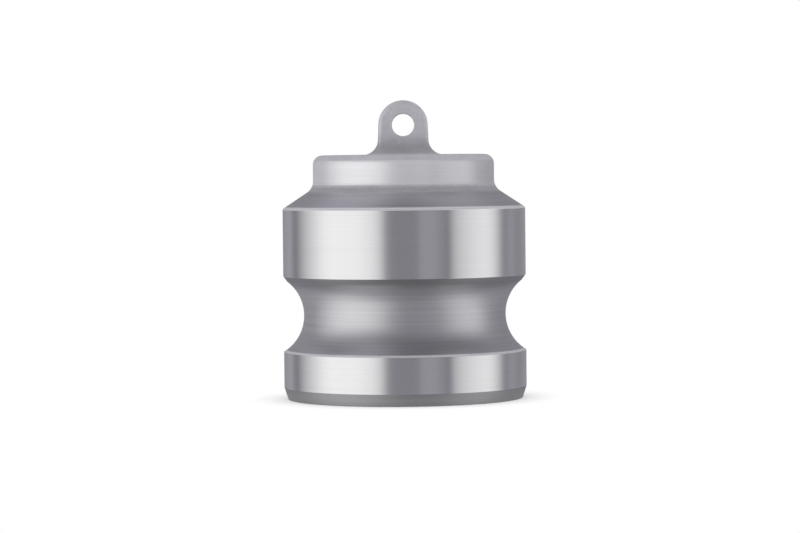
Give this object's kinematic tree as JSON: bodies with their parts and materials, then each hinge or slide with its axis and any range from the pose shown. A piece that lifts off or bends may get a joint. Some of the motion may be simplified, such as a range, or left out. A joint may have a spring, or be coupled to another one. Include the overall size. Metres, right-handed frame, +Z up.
{
  "type": "dust plug",
  "caption": "Closed male plug for a cam-and-groove hose coupling, turned rings and lever groove below a stepped cast cap with a lug for a keeper chain.",
  "frame": {"origin": "centre of the flat sealing face, at the bottom of the plug", "axes": "+Z up the plug's axis from the sealing face to the lug, Y along the lug's hole, X across the lug"},
  "size_m": [0.063, 0.063, 0.0773],
  "materials": {
    "cast_aluminium": "turned bright on the two rings, satin in the groove, as cast on the shoulder, cap, lug and inside"
  },
  "bodies": {
    "root": {"plug_body": "cast_aluminium"}
  },
  "joints": []
}
